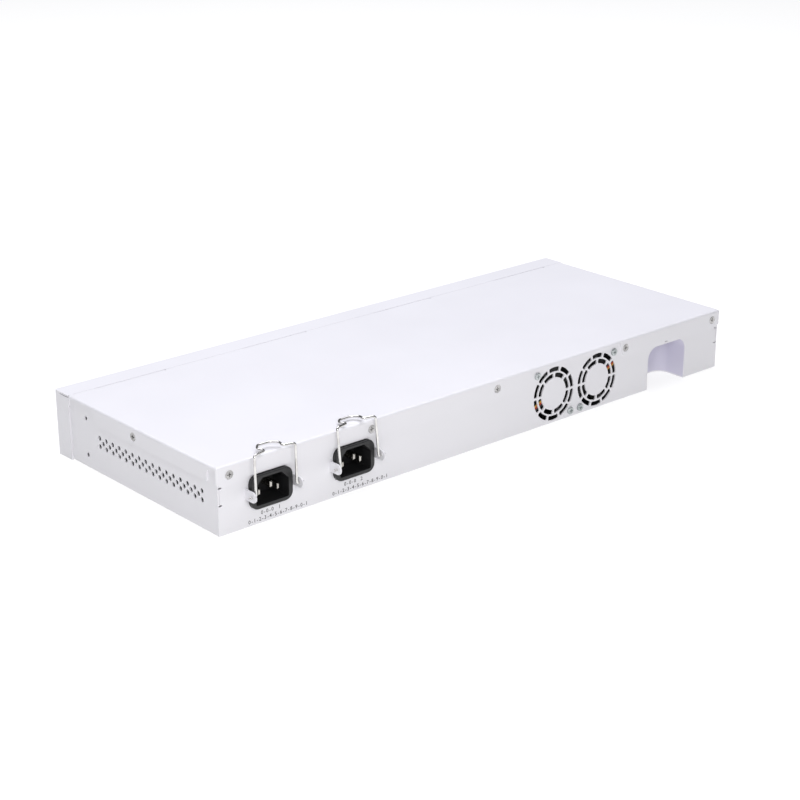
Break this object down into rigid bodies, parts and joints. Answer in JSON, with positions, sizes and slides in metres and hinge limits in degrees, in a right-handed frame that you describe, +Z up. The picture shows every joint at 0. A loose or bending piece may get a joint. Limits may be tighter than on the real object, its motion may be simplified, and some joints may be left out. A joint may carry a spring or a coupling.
{
  "type": "rackmount network switch",
  "caption": "Shallow rack-height network switch case with paired mains inlets, wire plug bails, grilled rear fans and a rear cable notch.",
  "frame": {"origin": "centre of the underside, on the face the switch stands on; the bails and their ears reach past the rear wall, so this is not the centre of the whole box", "axes": "+X along the width, +Y from the front panel to the rear wall, +Z up"},
  "size_m": [0.443, 0.1844, 0.0483],
  "materials": {
    "white_paint": "smooth satin powder coat",
    "nickel_screw": "nickel plated",
    "zinc_steel": "blue zinc plated",
    "bail_wire": "bright drawn and plated",
    "inlet_plastic": "fine moulded texture",
    "nickel_blade": "bright nickel",
    "fan_plastic": "satin moulded",
    "shaft_steel": "ground",
    "magnet": "bonded ferrite",
    "bearing_bronze": "sintered",
    "copper_winding": "enamelled",
    "red_insulation": "satin",
    "black_insulation": "satin",
    "yellow_insulation": "satin",
    "brown_insulation": "satin",
    "blue_insulation": "satin",
    "green_insulation": "satin, yellow stripe",
    "circuit_board": "solder mask",
    "chip_black": "moulded epoxy",
    "jack_plastic": "moulded",
    "tinplate": "bright tin",
    "contact_gold": "gold plated",
    "light_pipe": "clear acrylic",
    "led_body": "clear",
    "heat_sink": "anodised",
    "capacitor_can": "sleeved, bare top",
    "header_white": "moulded nylon",
    "insulator_film": "clear film",
    "ferrite": "ferrite with taped winding"
  },
  "bodies": {
    "case": {"base_tray": "white_paint", "board_capacitors": "capacitor_can", "board_headers": "header_white", "board_leds": "led_body", "board_screws": "zinc_steel", "board_standoffs": "zinc_steel", "cable_notch_liner": "white_paint", "clinch_nuts": "zinc_steel", "console_jack": "jack_plastic", "dc_wires_black": "black_insulation", "dc_wires_red": "red_insulation", "earth_studs": "zinc_steel", "earth_wires": "green_insulation", "fan_1_frame": "fan_plastic", "fan_2_frame": "fan_plastic", "fan_bearings": "bearing_bronze", "fan_leads_black": "black_insulation", "fan_leads_red": "red_insulation", "fan_leads_yellow": "yellow_insulation", "fan_screws": "zinc_steel", "fan_stators": "copper_winding", "front_panel": "white_paint", "front_panel_rivets": "white_paint", "inlet_1_housing": "inlet_plastic", "inlet_1_pins": "nickel_blade", "inlet_2_housing": "inlet_plastic", "inlet_2_pins": "nickel_blade", "inlet_wires_blue": "blue_insulation", "inlet_wires_brown": "brown_insulation", "light_pipes": "light_pipe", "main_board": "circuit_board", "main_chips": "chip_black", "memory_chips": "chip_black", "power_boards": "circuit_board", "power_capacitors": "capacitor_can", "power_heat_sinks": "heat_sink", "power_insulators": "insulator_film", "power_line_chokes": "copper_winding", "power_transformers": "ferrite", "processor_heat_sink": "heat_sink", "rear_cover_screws": "nickel_screw", "reset_switch": "chip_black", "rj45_block_1": "jack_plastic", "rj45_block_2": "jack_plastic", "rj45_contacts": "contact_gold", "rj45_shields": "tinplate", "sfp_cages": "tinplate", "sfp_connectors": "chip_black", "side_cover_screws": "nickel_screw", "switch_heat_sink": "heat_sink", "top_cover": "white_paint"},
    "bail_1": {"bail_1": "bail_wire"},
    "bail_2": {"bail_2": "bail_wire"},
    "fan_1_rotor": {"fan_1_impeller": "fan_plastic", "fan_1_magnet_ring": "magnet", "fan_1_shaft": "shaft_steel"},
    "fan_2_rotor": {"fan_2_impeller": "fan_plastic", "fan_2_magnet_ring": "magnet", "fan_2_shaft": "shaft_steel"},
    "reset_button": {"reset_button": "chip_black"}
  },
  "joints": [
    {"name": "bail_1_swing", "type": "hinge", "parent": "case", "child": "bail_1", "pos_m": [0.1832, 0.0935, 0.022], "axis": [-1, 0, 0], "range_deg": [-6.7, 141.3]},
    {"name": "bail_2_swing", "type": "hinge", "parent": "case", "child": "bail_2", "pos_m": [0.1198, 0.0935, 0.022], "axis": [-1, 0, 0], "range_deg": [-1.5, 146.5]},
    {"name": "fan_1_spin", "type": "hinge", "parent": "case", "child": "fan_1_rotor", "pos_m": [-0.0543, 0.075, 0.0211], "axis": [0, 1, 0], "continuous": true},
    {"name": "fan_2_spin", "type": "hinge", "parent": "case", "child": "fan_2_rotor", "pos_m": [-0.0957, 0.075, 0.0211], "axis": [0, 1, 0], "continuous": true},
    {"name": "reset_button_press", "type": "slide", "parent": "case", "child": "reset_button", "axis": [0, 1, 0], "range_m": [0, 0.0005], "stiffness_N_per_m": 300}
  ]
}
